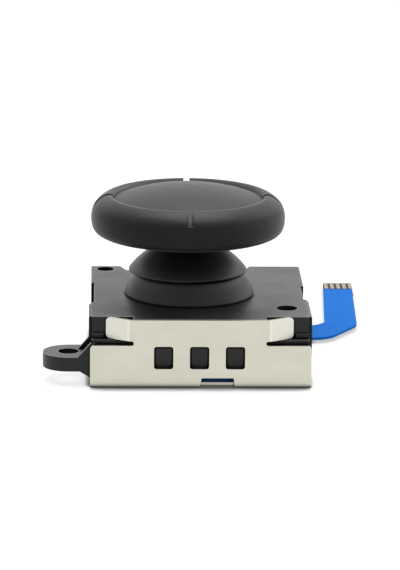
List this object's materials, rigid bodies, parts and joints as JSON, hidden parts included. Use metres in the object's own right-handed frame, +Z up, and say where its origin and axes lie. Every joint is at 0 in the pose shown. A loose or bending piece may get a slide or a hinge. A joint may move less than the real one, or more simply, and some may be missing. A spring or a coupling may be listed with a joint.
{
  "type": "controller analog stick",
  "caption": "Low thumb stick module: domed rubber cap on a sprung two-axis gimbal with a click, in a black cover and folded metal shell with a flexible tail.",
  "frame": {"origin": "where the stick's axis meets the underside of the metal base plate", "axes": "+Z up along the stick at rest, +X to the right and +Y to the back, seen from the side with the three windows; the flexible tail runs towards +Y"},
  "size_m": [0.0252, 0.0311, 0.0136],
  "materials": {
    "cap_rubber": "soft satin rubber",
    "black_plastic": "satin moulded",
    "shell_metal": "fine drawn grain",
    "inner_plastic": "natural moulded",
    "contact_metal": "gold plated",
    "carbon_print": "matte print",
    "blue_flex": "smooth film",
    "stiffener": "smooth laminate",
    "spring_steel": "bright drawn",
    "clear_film": "thin film"
  },
  "bodies": {
    "housing": {"top_cover": "black_plastic", "metal_shell": "shell_metal", "inner_frame": "inner_plastic", "flex_circuit": "blue_flex", "flex_stiffener": "stiffener", "flex_contacts": "contact_metal", "x_track": "carbon_print", "y_track": "carbon_print", "click_dome": "spring_steel", "dome_film": "clear_film", "return_spring": "spring_steel"},
    "x_rocker": {"x_rocker": "inner_plastic"},
    "pivot_block": {"pivot_block": "inner_plastic"},
    "stick": {"stick_shaft": "black_plastic", "thumb_cap": "cap_rubber"},
    "y_rocker": {"y_rocker": "inner_plastic"},
    "x_slider": {"x_slider": "black_plastic", "x_wiper": "contact_metal"},
    "y_slider": {"y_slider": "black_plastic", "y_wiper": "contact_metal"},
    "centring_plate": {"centring_plate": "inner_plastic"}
  },
  "joints": [
    {"name": "tilt_front_back", "type": "hinge", "parent": "housing", "child": "x_rocker", "pos_m": [0, 0, 0.0038], "axis": [1, 0, 0], "range_deg": [-13, 13], "stiffness_Nm_per_rad": 0.02},
    {"name": "tilt_left_right", "type": "hinge", "parent": "x_rocker", "child": "pivot_block", "pos_m": [0, 0, 0.0038], "axis": [0, 1, 0], "range_deg": [-13, 13], "stiffness_Nm_per_rad": 0.02},
    {"name": "click", "type": "slide", "parent": "pivot_block", "child": "stick", "axis": [0, 0, -1], "range_m": [0, 0.00015], "stiffness_N_per_m": 12000, "deforming": ["return_spring", "click_dome", "dome_film"]},
    {"name": "y_rocker_turn", "type": "hinge", "parent": "housing", "child": "y_rocker", "pos_m": [0, 0, 0.0038], "axis": [0, 1, 0], "range_deg": [-13, 13]},
    {"name": "x_slider_travel", "type": "slide", "parent": "housing", "child": "x_slider", "axis": [1, 0, 0], "range_m": [-0.00046, 0.00046]},
    {"name": "y_slider_travel", "type": "slide", "parent": "housing", "child": "y_slider", "axis": [0, 1, 0], "range_m": [-0.00046, 0.00046]},
    {"name": "plate_travel", "type": "slide", "parent": "housing", "child": "centring_plate", "axis": [0, 0, -1], "range_m": [0, 0.00015]}
  ],
  "couplings": [
    {"joint": "y_rocker_turn", "follows": "tilt_left_right", "ratio": 1},
    {"joint": "x_slider_travel", "follows": "tilt_left_right", "m_per_rad": -0.001983},
    {"joint": "y_slider_travel", "follows": "tilt_front_back", "m_per_rad": 0.001983},
    {"joint": "plate_travel", "follows": "click", "ratio": 1}
  ]
}
